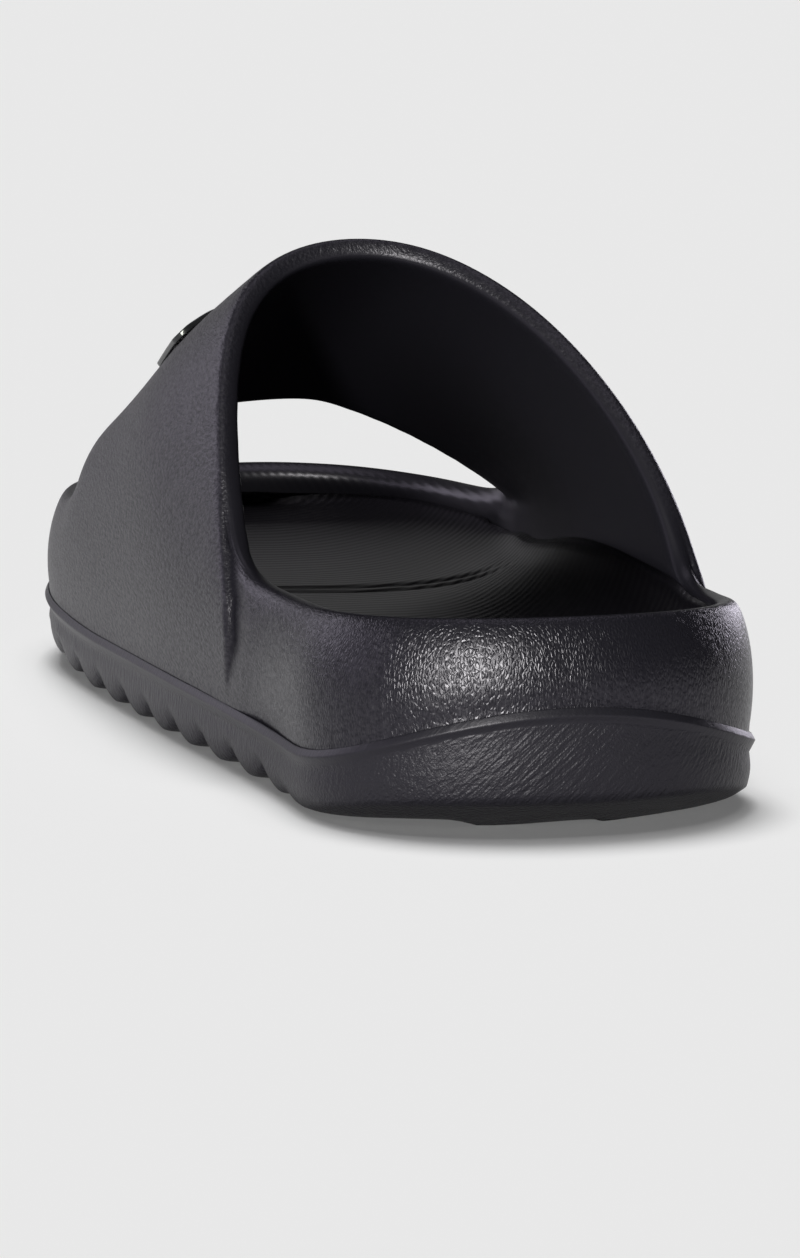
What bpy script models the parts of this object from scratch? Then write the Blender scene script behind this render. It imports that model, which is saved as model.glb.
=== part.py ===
"""Sport slide sandal for the left foot, heel at -Y and toe at +Y, standing on z = 0.

Four pieces, as a maker would put them together: the outsole with its lugs and bead, the
moulded upper that is strap, heel cup and toe wall in one, the contoured insole, and a
plain badge plate on the strap.  All lengths are metres.
"""
import math

import bmesh
import bpy
import numpy as np

# Driving sizes of the whole shoe.
LENGTH = 0.288
BALL_WIDTH = 0.111
HEEL_WIDTH = 0.087
HEEL_ROUND = 0.040        # length over which the heel end rounds off
TOE_ROUND = 0.074         # length over which the toe end rounds off
HEEL_FULLNESS = 2.2       # superellipse power of the heel end
TOE_FULLNESS = 2.2
CLEARANCE = 0.0003        # gap between neighbouring pieces
BED_GAP = 0.0011          # the same, where the wall bends between its sections

# Outsole.
SIDE_HEIGHT = 0.012       # floor to bead along the sides
HEEL_SWEEP = 0.0115       # how far the bead climbs at the back of the heel
TOE_SPRING = 0.0095
SPRING_START = 0.60       # share of the length where the toe starts to lift
SPRING_POWER = 1.8
BEAD_RADIUS = 0.0015
GROOVE = 0.0013           # how far the sole side stands back under the bead
HEEL_GROOVE_EASE = 0.35   # share of that step that goes at the back of the heel
BOTTOM_TUCK = 0.0042      # how far the tread stands in from the outline at the sides
HEEL_TUCK = 0.0100        # and how much more at the back of the heel
TOE_TUCK = 0.0060
HEEL_UNDERCUT = 0.0045    # lower edge of the heel wall above the floor
LUG_PITCH = 0.0188
LUG_DEPTH = 0.0029
LUG_SCALLOP = 0.0009      # how deep the notches bite into the side
LUG_START = 0.165         # share of the length where the heel block ends
LUG_COUNT = 11
LUG_FLAT = 0.24           # share of a lug's pitch that stays flat on the floor
TREAD_EDGE = 0.0010       # soft edge between the tread and the side
SIDE_ROUND = 0.0022       # height over which that edge rounds into the side
TUCK_LEFT = 0.55          # share of the tuck that is left within that rounding
TUCK_RISE = 0.30          # share of the rounding's height where it is taken
TUCK_HEEL_RISE = 0.60     # and share of the heel's undercut
SIDE_EDGE = 0.40          # share of the soft edge that is left at the rounding's top
SIDE_HOLLOW = 0.60        # share of the groove halfway up the side
SCALLOP_LOW = 0.50        # share of a notch's bite at the rounding's top
SCALLOP_HIGH = 0.15       # and halfway up the side
LOWER_BEAD = (0.35, 0.70)  # inset and drop of the bead's lower point, in bead radii
UPPER_BEAD = (0.40, 0.75)  # inset and rise of its upper point
BEAD_NECK = 1.5           # drop of the groove under the bead, in bead radii

# Upper.
WALL = 0.0070
STRAP_THINNING = 0.72     # strap wall as a share of the side wall
FOOT_INSET = 0.0015       # outer face of the wall behind the bead's crest
FOOT_DROP = 0.0016        # how far the wall's foot reaches down behind the bead
RIM_HEIGHT = 0.0415
STRAP_PEAK = 0.1010       # top of the strap's rear edge
STRAP_DROP = 0.0365       # how much lower its front edge lies
PEAK_PLACE = -0.010       # rear edge of the strap on the centre line
FRONT_PLACE = 0.054       # front edge of the strap on the centre line
RIDGE_SHIFT = -0.007      # the ridge stands a little to the lateral side
REAR_CORNER = 0.0120      # rounding where the collar turns up into the strap
FRONT_CORNER = 0.0090
CORNER_TURN = 0.30        # share of the rounding that the rim rises before the strap
WALL_BULGE = 0.0017
RIM_FIRMNESS = 0.40       # how square the rims and strap edges stay, from 0 to 1
STRAP_STEP = 0.0011       # the strap panel stands proud of the heel wall
STEP_REACH = 4            # that step runs out over so many corner roundings
LEAN_POWER = 1.5          # how late the wall's lean sets in on the way up
RIDGE_SAG = 0.20          # hollow of the ridge between the strap's edges
RISE_SAMPLE = 0.92        # the strap leaves the wall in the direction from this share of it

# Insole and badge.
INSOLE_THICKNESS = 0.0050
BED_HEIGHT = 0.0265
CUP_DEPTH = 0.0060
CUP_EASE = 0.55           # share of the cup that goes ahead of the heel
CUP_EASE_START = 0.25     # share of the length where it starts to go
CUP_EASE_REACH = 0.25
CUP_END = 0.60            # share of the cup at the very ends of the footbed
ARCH_LIFT = 0.0080
ARCH_PLACE = 0.37         # share of the length where the arch support is highest
ARCH_REACH = 0.20         # and over which it fades
BADGE_LENGTH = 0.022
BADGE_WIDTH = 0.013
BADGE_THICKNESS = 0.0012
BADGE_CORNER = 0.0035
BADGE_ZONE = 0.585        # middle of the badge between the strap's rear and front edges
BADGE_SHARE = 0.68        # and between the wall and the ridge

LATERAL, MEDIAL = -1, 1

# A row for each section of the outline: share along the length, how far the width has
# grown from heel to ball, centre line shift as a share of the ball width, bead height as
# a share of the side height, footbed height as a share of the bed height.
OUTLINE_COLUMNS = ("along", "widening", "shift", "bead", "bed")
OUTLINE = (
    (0.00, 0.08, 0.026, 0.96, 1.05),
    (0.12, 0.10, 0.025, 0.95, 1.03),
    (0.20, 0.06, 0.012, 0.96, 1.02),
    (0.30, 0.08, -0.013, 1.00, 1.01),
    (0.42, 0.21, -0.036, 1.04, 1.00),
    (0.55, 0.50, -0.034, 1.04, 0.96),
    (0.68, 0.86, -0.020, 1.02, 0.95),
    (0.78, 1.00, -0.012, 0.98, 0.97),
    (0.88, 1.04, -0.008, 0.93, 1.01),
    (1.00, 1.05, -0.006, 0.86, 1.03),
)

# A row for each section of the rim: share along the length, then for each side the rim
# height as a share of RIM_HEIGHT and the inward lean of the wall as a share of WALL.
RIM_COLUMNS = ("along", "lateral", "medial", "lateral_lean", "medial_lean")
RIM = (
    (0.00, 1.00, 1.00, 0.60, 0.60),
    (0.10, 0.97, 0.96, 0.45, 0.15),
    (0.19, 0.94, 0.90, 0.20, -0.25),
    (0.27, 0.97, 0.89, -0.25, -0.30),
    (0.45, 1.02, 0.90, -0.30, -0.10),
    (0.60, 0.99, 0.90, -0.10, 0.10),
    (0.71, 0.96, 0.89, 0.10, 0.25),
    (0.81, 0.94, 0.87, 0.35, 0.35),
    (0.92, 0.93, 0.88, 0.50, 0.45),
    (1.00, 0.92, 0.92, 0.50, 0.50),
)

# A row for each side of the strap: where its rear and front edges stand on the sole, as
# shares of the length, how far each leans forward by the height of the rim, and how full
# the strap's curve is where it rises from the wall and where it crowns at the ridge, each
# at the rear edge and at the front edge.
STRAP = {
    LATERAL: {"rear": 0.270, "front": 0.715, "rear_lean": 0.0080, "front_lean": -0.0030,
              "rise": (0.62, 0.52), "crown": (0.90, 0.84)},
    MEDIAL: {"rear": 0.200, "front": 0.815, "rear_lean": 0.0060, "front_lean": -0.0090,
             "rise": (0.54, 0.16), "crown": (0.63, 0.30)},
}

# Shares of each zone of the perimeter at which the upper's cage has a column, and of the
# wall's height at which it has a row.
HEEL_COLUMNS = (0.0, 0.012, 0.085, 0.21, 0.39, 0.58, 0.76, 0.89, 1.0)
STRAP_COLUMNS = (0.0, 0.07, 0.20, 0.34, 0.48, 0.62, 0.76, 0.91, 1.0)
TOE_COLUMNS = (0.0, 0.09, 0.26, 0.45, 0.62, 0.77, 0.895, 0.98, 1.0)
WALL_ROWS = (0.0, 0.30, 0.66, 1.0)
STRAP_ROWS = (0.13, 0.30, 0.48, 0.66, 0.84, 1.0)

# Sections of the outsole: how many round the heel and the toe, and their shares of a lug.
HEEL_STEPS = 13
TOE_STEPS = 8
LUG_SHARES = (0.0, 0.16, 0.38, 0.62, 0.84)

# Faces across the tread and the footbed, across and along the badge, and round its corner.
TREAD_ACROSS = 6
BED_ACROSS = 8
BADGE_FACES = (6, 3)
BADGE_CORNER_STEPS = 4
NEARBY = 0.01             # share of the strap between two points that give its direction
OUTLINE_SAMPLES = 96
TURN_STEP = 0.02          # radians round the outline between points that give its direction


def smooth(table, columns, name, along):
    """Value of a table's column at a share along the shoe, on a smooth curve."""
    place = columns.index(name)
    xs = [row[0] for row in table]
    ys = [row[place] for row in table]
    along = min(max(along, xs[0]), xs[-1])
    k = max(i for i in range(len(xs) - 1) if xs[i] <= along)
    slopes = []
    for i in (k, k + 1):
        low, high = max(i - 1, 0), min(i + 1, len(xs) - 1)
        slopes.append((ys[high] - ys[low]) / (xs[high] - xs[low]))
    span = xs[k + 1] - xs[k]
    u = (along - xs[k]) / span
    return ((2 * u**3 - 3 * u**2 + 1) * ys[k] + (u**3 - 2 * u**2 + u) * span * slopes[0]
            + (3 * u**2 - 2 * u**3) * ys[k + 1] + (u**3 - u**2) * span * slopes[1])


def outline_value(name, along):
    return smooth(OUTLINE, OUTLINE_COLUMNS, name, along)


def rim_value(name, along):
    return smooth(RIM, RIM_COLUMNS, name, along)


def ease(u):
    """Soft step from 0 to 1."""
    u = min(max(u, 0.0), 1.0)
    return u * u * (3 - 2 * u)


def heel_rounding(along):
    """Share of the half width that is left near the heel end."""
    reach = min(along * LENGTH / HEEL_ROUND, 1.0)
    return (1 - (1 - reach) ** HEEL_FULLNESS) ** (1 / HEEL_FULLNESS)


def toe_rounding(along):
    """Share of the half width that is left near the toe end."""
    reach = min((1 - along) * LENGTH / TOE_ROUND, 1.0)
    return (1 - (1 - reach) ** TOE_FULLNESS) ** (1 / TOE_FULLNESS)


def centre_line(along):
    return outline_value("shift", along) * BALL_WIDTH


def crest(side, along):
    """Point of the bead's crest in plan."""
    width = HEEL_WIDTH + (BALL_WIDTH - HEEL_WIDTH) * outline_value("widening", along)
    half = 0.5 * width * heel_rounding(along) * toe_rounding(along)
    return np.array((centre_line(along) + side * half, (along - 0.5) * LENGTH))


def outline_middle():
    """Sideways middle of the widest places, which is put on x = 0."""
    reach = [max(side * crest(side, k / OUTLINE_SAMPLES)[0] for k in range(OUTLINE_SAMPLES + 1))
             for side in (LATERAL, MEDIAL)]
    return 0.5 * (reach[1] - reach[0])


def outline(side, along, inset):
    """Plan point at a distance inside the bead's crest, square to the outline."""
    if along <= 0.0 or along >= 1.0:
        inward = np.array((0.0, 1.0 if along <= 0.0 else -1.0))
        return crest(side, along) + inset * inward
    turn = math.acos(1 - 2 * along)
    step = min(TURN_STEP, turn, math.pi - turn)
    before = crest(side, (1 - math.cos(turn - step)) / 2)
    after = crest(side, (1 - math.cos(turn + step)) / 2)
    run = after - before
    inward = np.array((-run[1], run[0])) * side / np.linalg.norm(run)
    return crest(side, along) + inset * inward


def floor_height(along):
    """Height of the tread above the floor: zero until the toe springs."""
    lift = max(along - SPRING_START, 0.0) / (1 - SPRING_START)
    return TOE_SPRING * lift**SPRING_POWER


def bead_height(along):
    """Height of the bead's crest: it sweeps up at the back of the heel."""
    sweep = HEEL_SWEEP * (1 - heel_rounding(along) ** 2)
    return floor_height(along) + SIDE_HEIGHT * outline_value("bead", along) + sweep


def ledge_height(along):
    """Height of the ledge behind the bead, on which the upper stands."""
    return bead_height(along) - FOOT_DROP


def bed_height(along):
    return BED_HEIGHT * outline_value("bed", along)


def side_name(side):
    return "lateral" if side == LATERAL else "medial"


def strap_zone(side, along):
    """Share of the way from the strap's rear edge to its front edge."""
    edges = STRAP[side]
    return (along - edges["rear"]) / (edges["front"] - edges["rear"])


def shoulder_height(side, along):
    """Height of the rim, and under the strap of the row that carries it on."""
    rim = RIM_HEIGHT * rim_value(side_name(side), along)
    zone = strap_zone(side, along)
    corner = REAR_CORNER + (FRONT_CORNER - REAR_CORNER) * min(max(zone, 0.0), 1.0)
    behind = (STRAP[side]["rear"] - along) * LENGTH
    ahead = (along - STRAP[side]["front"]) * LENGTH
    short = max(1 - max(behind, ahead, 0.0) / corner, 0.0)
    return rim + CORNER_TURN * corner * short**2


def wall_inset(side, along, share):
    """How far the wall's outer face stands inside the bead's crest, at a share of its height."""
    lean = WALL * rim_value(side_name(side) + "_lean", along)
    behind = (STRAP[side]["rear"] - along) * LENGTH
    step = STRAP_STEP * ease(behind / REAR_CORNER)
    step *= 1 - ease(behind / (STEP_REACH * REAR_CORNER))
    return FOOT_INSET + lean * share**LEAN_POWER + step - WALL_BULGE * 4 * share * (1 - share)


def wall_reach(side, along, height):
    """Inset of the wall's outer face below its first row, where the wall runs straight."""
    foot = ledge_height(along) + CLEARANCE
    share = (height - foot) / (shoulder_height(side, along) - foot)
    first = WALL_ROWS[1]
    return FOOT_INSET + (wall_inset(side, along, first) - FOOT_INSET) * share / first


def lean_forward(side, along, share):
    """Forward lean of the strap's edges, which starts in the wall."""
    edges = STRAP[side]
    zone = strap_zone(side, along)
    if zone < 0:
        weight = 1 - ease(-zone * (edges["front"] - edges["rear"]) / edges["rear"] * 2)
        return edges["rear_lean"] * weight * share**3
    if zone > 1:
        weight = 1 - ease((along - edges["front"]) / (1 - edges["front"]) * 2)
        return edges["front_lean"] * weight * share**3
    lean = edges["rear_lean"] + (edges["front_lean"] - edges["rear_lean"]) * ease(zone)
    return lean * share**3


def wall_point(side, along, share):
    """Point of the wall's outer face from its foot to the shoulder."""
    foot = ledge_height(along) + CLEARANCE
    top = shoulder_height(side, along)
    plan = outline(side, along, wall_inset(side, along, share))
    return np.array((plan[0], plan[1] + lean_forward(side, along, share),
                     foot + (top - foot) * share))


def ridge_point(zone):
    """Point of the strap's top line, from rear to front edge."""
    place = PEAK_PLACE + (FRONT_PLACE - PEAK_PLACE) * zone
    height = STRAP_PEAK - STRAP_DROP * ((1 - RIDGE_SAG) * zone + RIDGE_SAG * zone**2)
    return np.array((RIDGE_SHIFT, place, height))


def strap_point(side, along, share):
    """Point of the strap's outer face from the shoulder to the ridge."""
    zone = strap_zone(side, along)
    start = wall_point(side, along, 1.0)
    rising = start - wall_point(side, along, RISE_SAMPLE)
    rising /= np.linalg.norm(rising)
    end = ridge_point(zone)
    span = abs(end[0] - start[0])
    climb = end[2] - start[2]
    rise, crown = (pair[0] + (pair[1] - pair[0]) * zone
                   for pair in (STRAP[side]["rise"], STRAP[side]["crown"]))
    first = start + rising * climb * rise
    second = end + np.array((side * span * crown, 0.0, 0.0))
    u = share
    return ((1 - u)**3 * start + 3 * u * (1 - u)**2 * first
            + 3 * u**2 * (1 - u) * second + u**3 * end)


def perimeter_columns(side):
    """Shares along the shoe of the cage's columns on one side, heel to toe."""
    rear, front = STRAP[side]["rear"], STRAP[side]["front"]
    heel = [rear * s for s in HEEL_COLUMNS]
    strap = [rear + (front - rear) * s for s in STRAP_COLUMNS[1:]]
    toe = [front + (1 - front) * s for s in TOE_COLUMNS[1:]]
    return heel + strap + toe


def through_points(points, lines):
    """Push a cage outwards so that its smoothed surface passes through the points."""
    cage = points.copy()
    for _ in range(3):
        limit = cage.copy()
        for before, here, after in lines:
            limit[here] += (cage[before] + cage[after] - 2 * cage[here]) / 6
        cage += points - limit
    return cage


def new_object(name, collection, mesh_data, material):
    obj = bpy.data.objects.new(name, mesh_data)
    mesh_data.materials.append(material)
    obj.location.x = -outline_middle()
    collection.objects.link(obj)
    mesh_data.shade_smooth()
    return obj


def build_upper(collection, material):
    """Strap, heel cup and toe wall as one open sheet, given its wall by Solidify."""
    index, points, lines = {}, [], []

    def add(key, point):
        index[key] = len(points)
        points.append(point)

    wall_rows, strap_rows = len(WALL_ROWS), len(STRAP_ROWS)
    last = len(HEEL_COLUMNS) + len(STRAP_COLUMNS) + len(TOE_COLUMNS) - 3
    rear = len(HEEL_COLUMNS) - 1
    front = rear + len(STRAP_COLUMNS) - 1
    for side in (LATERAL, MEDIAL):
        for i, along in enumerate(perimeter_columns(side)):
            for j, share in enumerate(WALL_ROWS):
                if side == MEDIAL and i in (0, last):
                    index[side, i, j] = index[LATERAL, i, j]
                else:
                    add((side, i, j), wall_point(side, along, share))
            if not rear <= i <= front:
                continue
            for j, share in enumerate(STRAP_ROWS):
                if side == MEDIAL and share == 1.0:
                    index[side, i, wall_rows + j] = index[LATERAL, i, wall_rows + j]
                else:
                    add((side, i, wall_rows + j), strap_point(side, along, share))

    def follow(*keys):
        if all(key in index for key in keys):
            lines.append([index[key] for key in keys])

    top = wall_rows + strap_rows - 1
    for side in (LATERAL, MEDIAL):
        for i in range(1, last):
            for j in range(top + 1):
                if (side, i, j) not in index or (side == MEDIAL and j == top):
                    continue
                if rear < i < front or j < wall_rows - 1:
                    follow((side, i - 1, j), (side, i, j), (side, i + 1, j))
                if 0 < j < top:
                    follow((side, i, j - 1), (side, i, j), (side, i, j + 1))
    for j in range(wall_rows):
        for i, beside in ((0, 1), (last, last - 1)):
            follow((LATERAL, beside, j), (LATERAL, i, j), (MEDIAL, beside, j))
    for i in range(rear, front + 1):
        follow((LATERAL, i, top - 1), (LATERAL, i, top), (MEDIAL, i, top - 1))

    cage = through_points(np.array(points), lines)
    bm = bmesh.new()
    thinning = bm.verts.layers.deform.verify()
    crease = bm.edges.layers.float.new("crease_edge")
    verts = [bm.verts.new(point) for point in cage]
    for (side, i, j), place in index.items():
        shed = ease((j - wall_rows + 2) / 3) * (1 - STRAP_THINNING)
        verts[place][thinning][0] = 1 - shed
    for side in (LATERAL, MEDIAL):
        for i in range(last):
            for j in range(top):
                corners = [(side, i, j), (side, i + 1, j), (side, i + 1, j + 1), (side, i, j + 1)]
                if not all(key in index for key in corners):
                    continue
                if side == LATERAL:
                    corners.reverse()
                bm.faces.new([verts[index[key]] for key in corners])
    feet = {verts[index[side, i, 0]] for side in (LATERAL, MEDIAL) for i in range(last + 1)}
    for edge in bm.edges:
        if edge.is_boundary and edge.verts[0] in feet and edge.verts[1] in feet:
            edge[crease] = 1.0
    mesh_data = bpy.data.meshes.new("upper")
    bm.to_mesh(mesh_data)
    bm.free()

    obj = new_object("upper", collection, mesh_data, material)
    obj.vertex_groups.new(name="wall")
    shell = obj.modifiers.new("wall", "SOLIDIFY")
    shell.thickness = WALL
    shell.offset = -1
    shell.use_even_offset = False
    shell.edge_crease_outer = RIM_FIRMNESS
    shell.edge_crease_inner = RIM_FIRMNESS
    shell.vertex_group = "wall"
    shell.thickness_vertex_group = 0.0
    soften = obj.modifiers.new("soften", "SUBSURF")
    soften.levels = 1
    soften.render_levels = 1
    return obj


def lug_profile(along):
    """How far the tread is cut up here: 0 on a lug's flat, 1 in a notch."""
    place = (along - LUG_START) * LENGTH / LUG_PITCH
    if place <= 0 or place >= LUG_COUNT:
        return 0.0
    across = abs(2 * (place % 1.0) - 1)
    return max(across - LUG_FLAT, 0.0) ** 2 / (1 - LUG_FLAT) ** 2


def tread_stations():
    """Shares along the shoe of the outsole's sections: ends, then five for each lug."""
    lug_end = LUG_START + LUG_COUNT * LUG_PITCH / LENGTH
    heel = [LUG_START * (1 - math.cos(math.pi / 2 * k / HEEL_STEPS)) for k in range(HEEL_STEPS)]
    lugs = []
    for lug in range(LUG_COUNT):
        for share in LUG_SHARES:
            lugs.append(LUG_START + (lug + share) * LUG_PITCH / LENGTH)
    toe = [lug_end + (1 - lug_end) * math.sin(math.pi / 2 * k / TOE_STEPS)
           for k in range(TOE_STEPS + 1)]
    return heel + lugs + toe


def sole_ring(side, along):
    """Section of the outsole's edge: (inset, height) from the tread to the core's top."""
    floor = floor_height(along)
    bead = bead_height(along)
    at_heel = 1 - ease(along * LENGTH / HEEL_ROUND)
    at_toe = 1 - ease((1 - along) * LENGTH / (0.5 * TOE_ROUND))
    notch = lug_profile(along)
    tread = floor + LUG_DEPTH * notch
    tuck = BOTTOM_TUCK + HEEL_TUCK * at_heel + TOE_TUCK * at_toe + LUG_SCALLOP * notch
    heel_edge = HEEL_UNDERCUT * at_heel
    side_low = tread + SIDE_ROUND + heel_edge
    groove = GROOVE * (1 - HEEL_GROOVE_EASE * at_heel)
    wall_back = groove + SCALLOP_LOW * LUG_SCALLOP * notch
    neck = bead - BEAD_NECK * BEAD_RADIUS
    core = FOOT_INSET + WALL + BED_GAP
    ledge = ledge_height(along)
    top = bed_height(along) - INSOLE_THICKNESS - CLEARANCE
    lean_share = (top - ledge) / (shoulder_height(side, along) - ledge)
    core_top = wall_inset(side, along, lean_share) + WALL + BED_GAP
    return (
        (tuck + TREAD_EDGE, tread),
        (TUCK_LEFT * tuck + (1 - TUCK_LEFT) * wall_back,
         tread + TUCK_RISE * SIDE_ROUND + TUCK_HEEL_RISE * heel_edge),
        (wall_back + SIDE_EDGE * TREAD_EDGE, side_low),
        (SIDE_HOLLOW * groove + SCALLOP_HIGH * LUG_SCALLOP * notch, 0.5 * (side_low + neck)),
        (groove, neck),
        (LOWER_BEAD[0] * BEAD_RADIUS, bead - LOWER_BEAD[1] * BEAD_RADIUS),
        (0.0, bead),
        (UPPER_BEAD[0] * BEAD_RADIUS, bead + UPPER_BEAD[1] * BEAD_RADIUS),
        (wall_reach(side, along, bead + BEAD_RADIUS) - CLEARANCE, bead + BEAD_RADIUS),
        (FOOT_INSET - CLEARANCE, ledge),
        (max(core, core_top), ledge),
        (max(core, core_top), top),
    )


def loft_between(bm, rings, tread_height, top_height, across):
    """Closed solid from matching rings on both sides, capped by grids below and above."""
    rows = len(rings[LATERAL][0])
    count = len(rings[LATERAL])
    verts = {}
    for side in (LATERAL, MEDIAL):
        for i in range(count):
            for j in range(rows):
                if side == MEDIAL and i in (0, count - 1):
                    verts[side, i, j] = verts[LATERAL, i, j]
                else:
                    verts[side, i, j] = bm.verts.new(rings[side][i][j])
    for side in (LATERAL, MEDIAL):
        for i in range(count - 1):
            for j in range(rows - 1):
                quad = [verts[side, i, j], verts[side, i + 1, j],
                        verts[side, i + 1, j + 1], verts[side, i, j + 1]]
                if side == LATERAL:
                    quad.reverse()
                bm.faces.new(quad)
    for row, height in ((0, tread_height), (rows - 1, top_height)):
        previous = [verts[LATERAL, 0, row]]
        for i in range(1, count):
            if i == count - 1:
                line = [verts[LATERAL, i, row]]
            else:
                start = np.array(verts[LATERAL, i, row].co)
                end = np.array(verts[MEDIAL, i, row].co)
                line = [verts[LATERAL, i, row]]
                for k in range(1, across):
                    point = start + (end - start) * k / across
                    point[2] = height(i, k / across, point)
                    line.append(bm.verts.new(point))
                line.append(verts[MEDIAL, i, row])
            for k in range(across):
                if len(previous) == 1:
                    face = [previous[0], line[k + 1], line[k]]
                elif len(line) == 1:
                    face = [previous[k], previous[k + 1], line[0]]
                else:
                    face = [previous[k], previous[k + 1], line[k + 1], line[k]]
                if row != 0:
                    face.reverse()
                bm.faces.new(face)
            previous = line
    return verts


def build_outsole(collection, material):
    """Outsole with lugs, heel block, bead and the core that carries the insole."""
    stations = tread_stations()
    rings = {}
    for side in (LATERAL, MEDIAL):
        rings[side] = []
        for along in stations:
            ring = []
            for inset, height in sole_ring(side, along):
                plan = outline(side, along, inset)
                ring.append((plan[0], plan[1], height))
            rings[side].append(ring)

    def tread_height(i, across, point):
        return rings[LATERAL][i][0][2]

    def top_height(i, across, point):
        return rings[LATERAL][i][-1][2]

    bm = bmesh.new()
    loft_between(bm, rings, tread_height, top_height, TREAD_ACROSS)
    bmesh.ops.recalc_face_normals(bm, faces=bm.faces)
    mesh_data = bpy.data.meshes.new("outsole")
    bm.to_mesh(mesh_data)
    bm.free()
    return new_object("outsole", collection, mesh_data, material)


def bed_surface(along, across):
    """Height of the footbed: a heel cup, a lift under the arch and a raised toe."""
    edge = abs(2 * across - 1)
    fading = ease((along - CUP_EASE_START) / CUP_EASE_REACH)
    cup = CUP_DEPTH * (1 - CUP_EASE * fading) * edge**3
    medial = max(2 * across - 1, 0.0)
    bell = math.exp(-((along - ARCH_PLACE) / ARCH_REACH) ** 2)
    return bed_height(along) + cup + ARCH_LIFT * bell * medial**4


def build_insole(collection, material):
    """Contoured footbed that fills the upper from wall to wall."""
    rings = {}
    ends = (LUG_START, LUG_START + LUG_COUNT * LUG_PITCH / LENGTH)
    stations = [along for k, along in enumerate(tread_stations())
                if k % 2 == 0 or not ends[0] < along < ends[1]]
    for side in (LATERAL, MEDIAL):
        rings[side] = []
        for along in stations:
            low = bed_height(along) - INSOLE_THICKNESS
            high = bed_surface(along, 0.0 if side == LATERAL else 1.0)
            if along in (stations[0], stations[-1]):
                high = bed_height(along) + CUP_DEPTH * CUP_END
            foot = ledge_height(along)
            rise = shoulder_height(side, along) - foot
            ring = []
            for height in (low, high):
                inset = wall_inset(side, along, (height - foot) / rise)
                plan = outline(side, along, inset + WALL + BED_GAP)
                ring.append((plan[0], plan[1], height))
            rings[side].append(ring)

    def low_height(i, across, point):
        return rings[LATERAL][i][0][2]

    def high_height(i, across, point):
        return bed_surface(stations[i], across)

    bm = bmesh.new()
    loft_between(bm, rings, low_height, high_height, BED_ACROSS)
    bmesh.ops.recalc_face_normals(bm, faces=bm.faces)
    mesh_data = bpy.data.meshes.new("insole")
    bm.to_mesh(mesh_data)
    bm.free()
    return new_object("insole", collection, mesh_data, material)


def build_badge(collection, material):
    """Plain plate with round corners that follows the strap, high on its lateral side."""
    rear, front = STRAP[LATERAL]["rear"], STRAP[LATERAL]["front"]

    def face(zone, share):
        return strap_point(LATERAL, rear + zone * (front - rear), share)

    def spread(size, one, other):
        """Share of the strap that a size takes up between two near places on it."""
        return size / np.linalg.norm(one - other) * 2 * NEARBY

    length = spread(BADGE_LENGTH, face(BADGE_ZONE - NEARBY, BADGE_SHARE),
                    face(BADGE_ZONE + NEARBY, BADGE_SHARE))
    width = spread(BADGE_WIDTH, face(BADGE_ZONE, BADGE_SHARE - NEARBY),
                   face(BADGE_ZONE, BADGE_SHARE + NEARBY))
    bm = bmesh.new()
    bmesh.ops.create_grid(bm, x_segments=BADGE_FACES[0], y_segments=BADGE_FACES[1], size=0.5)
    corners = [vert for vert in bm.verts if len(vert.link_faces) == 1]
    for vert in bm.verts:
        zone = BADGE_ZONE + length * vert.co.x
        share = BADGE_SHARE + width * vert.co.y
        here = face(zone, share)
        out = np.cross(face(zone, share + NEARBY) - here, face(zone + NEARBY, share) - here)
        out *= (CLEARANCE + BADGE_THICKNESS) / np.linalg.norm(out)
        vert.co = here + out
    bmesh.ops.bevel(bm, geom=corners, offset=BADGE_CORNER, segments=BADGE_CORNER_STEPS,
                    profile=0.5, affect="VERTICES", material=-1)
    bmesh.ops.recalc_face_normals(bm, faces=bm.faces)
    mesh_data = bpy.data.meshes.new("badge")
    bm.to_mesh(mesh_data)
    bm.free()
    obj = new_object("badge", collection, mesh_data, material)
    plate = obj.modifiers.new("plate", "SOLIDIFY")
    plate.thickness = BADGE_THICKNESS
    plate.offset = -1
    return obj


def make_material(name, colour, roughness):
    material = bpy.data.materials.new(name)
    material.use_nodes = True
    shader = material.node_tree.nodes["Principled BSDF"]
    shader.inputs["Base Color"].default_value = (*colour, 1.0)
    shader.inputs["Roughness"].default_value = roughness
    shader.inputs["Metallic"].default_value = 0.0
    return material


def main():
    for obj in list(bpy.data.objects):
        bpy.data.objects.remove(obj)
    shoe = bpy.data.collections.new("sport_slide_sandal")
    bpy.context.scene.collection.children.link(shoe)
    build_outsole(shoe, make_material("outsole_foam", (0.010, 0.010, 0.011), 0.6))
    build_upper(shoe, make_material("upper_foam", (0.013, 0.012, 0.014), 0.55))
    build_insole(shoe, make_material("insole_foam", (0.010, 0.010, 0.010), 0.5))
    build_badge(shoe, make_material("badge_plastic", (0.006, 0.006, 0.007), 0.25))


main()
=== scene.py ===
import math

import bmesh
import bpy
import numpy as np
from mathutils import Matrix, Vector
from mathutils.bvhtree import BVHTree
from mathutils.kdtree import KDTree


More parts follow.
